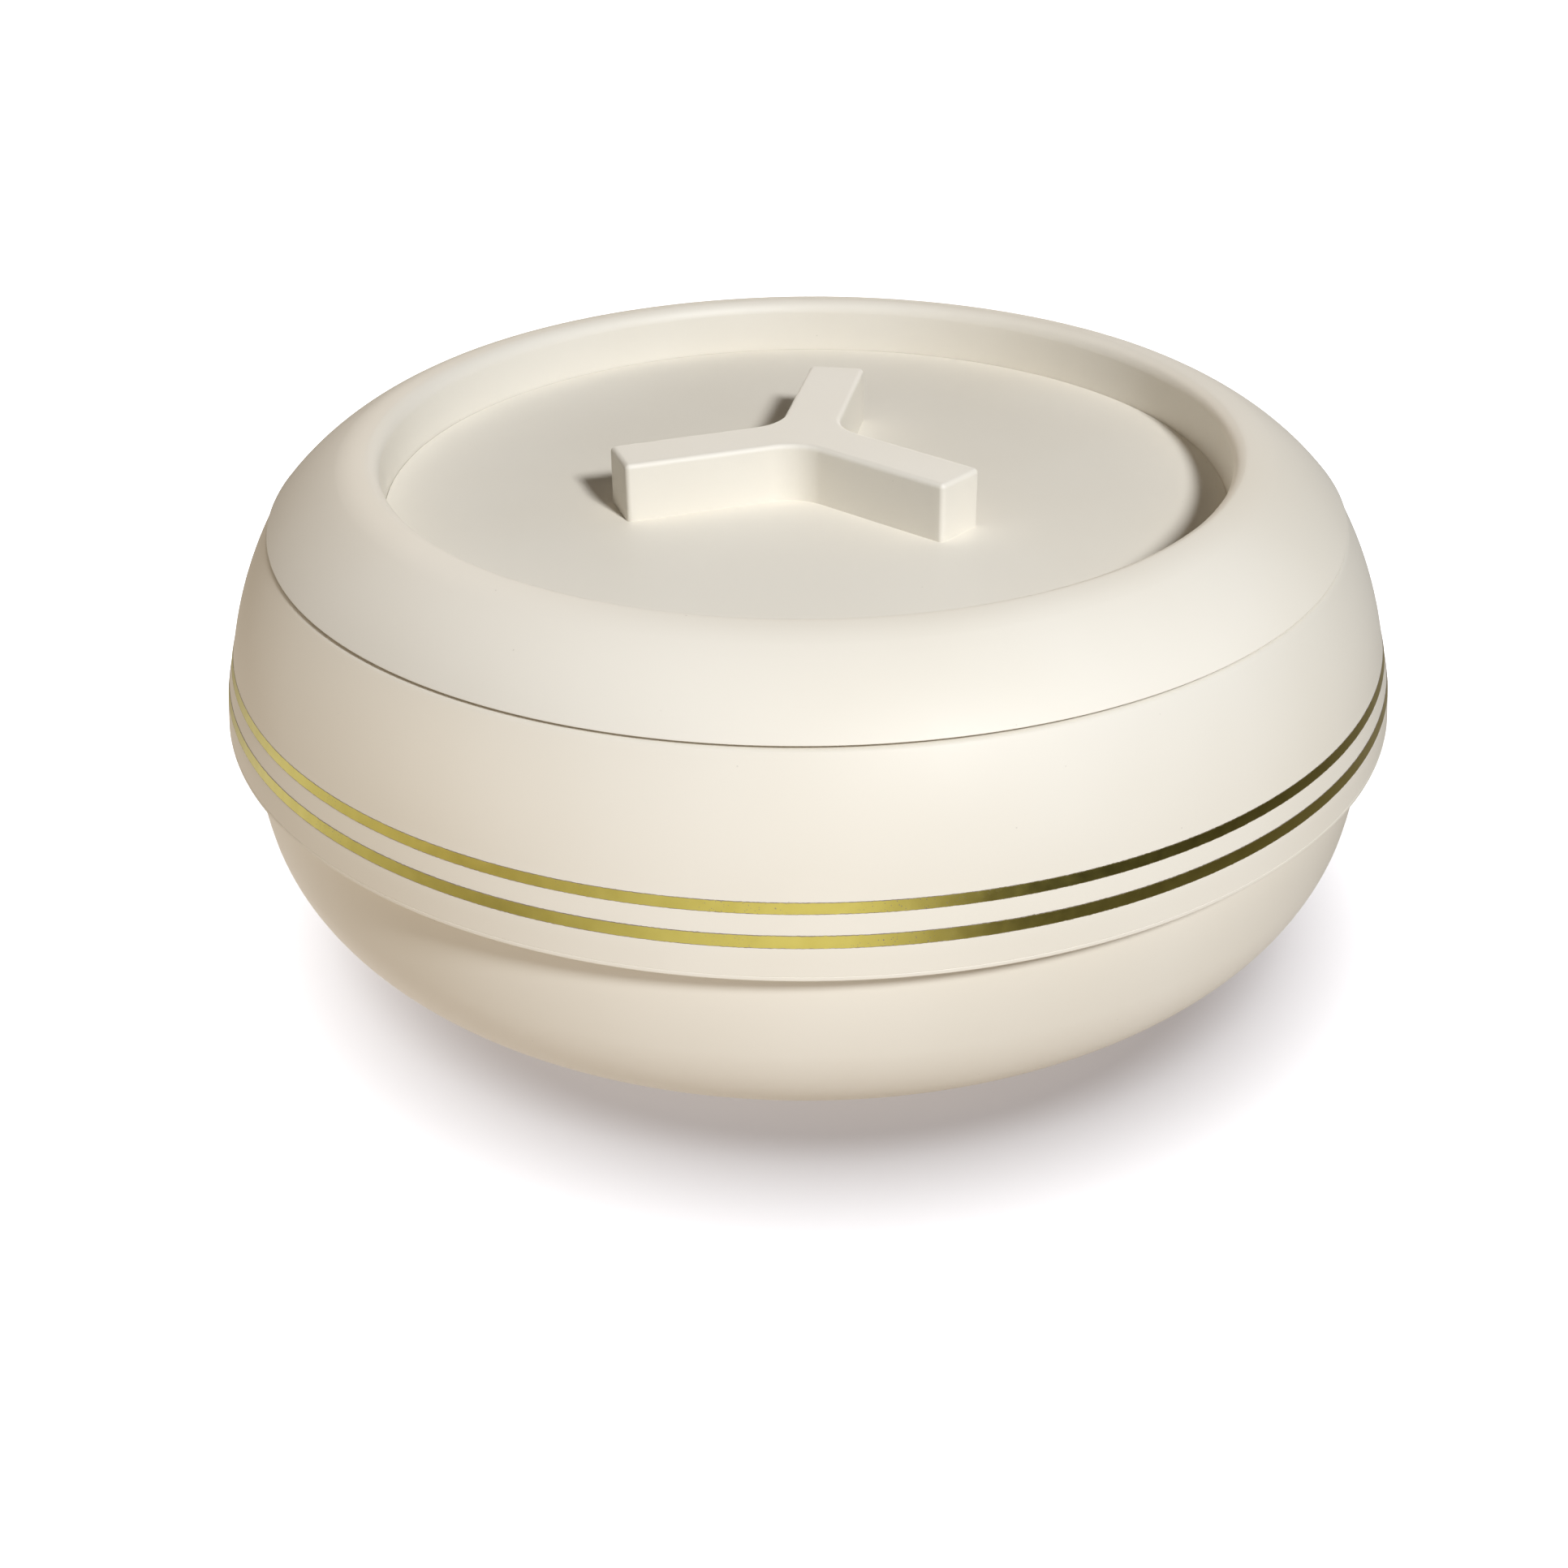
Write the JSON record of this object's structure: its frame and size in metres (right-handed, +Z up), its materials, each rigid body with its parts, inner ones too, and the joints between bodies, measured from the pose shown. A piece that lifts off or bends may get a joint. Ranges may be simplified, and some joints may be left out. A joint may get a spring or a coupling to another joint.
{
  "type": "insulated casserole",
  "caption": "Round insulated serving casserole for flat breads, with a foam-filled shell, a steel inner pot and a lift-off lid with a recessed top and a three-armed grip.",
  "frame": {"origin": "centre of the base, on the surface that the casserole stands on", "axes": "+Z up along the axis of the bowl, -Y towards the viewer, +X to the viewer's right"},
  "size_m": [0.2498, 0.2498, 0.1044],
  "materials": {
    "ivory_shell": "satin",
    "gold_foil": "polished",
    "pot_steel": "satin",
    "rigid_foam": "matte",
    "plated_screw": "satin",
    "silicone": "matte"
  },
  "bodies": {
    "casserole_body": {"outer_bowl": "ivory_shell", "belly_collar": "ivory_shell", "gold_stripe_upper": "gold_foil", "gold_stripe_lower": "gold_foil", "inner_pot": "pot_steel", "body_foam": "rigid_foam", "bowl_fill_plug": "ivory_shell"},
    "seal_ring": {"lid_seal": "silicone"},
    "lid": {"lid_ring": "ivory_shell", "lid_disc": "ivory_shell", "lid_handle": "ivory_shell", "handle_screws": "plated_screw", "lid_liner": "ivory_shell", "lid_foam": "rigid_foam", "lid_fill_plug": "ivory_shell"}
  },
  "joints": [
    {"name": "lid_lift", "type": "slide", "parent": "casserole_body", "child": "seal_ring", "axis": [0, 0, 1], "range_m": [0, 0.12]},
    {"name": "lid_turn", "type": "hinge", "parent": "seal_ring", "child": "lid", "pos_m": [0, 0, 0.085], "axis": [0, 0, 1], "continuous": true}
  ]
}
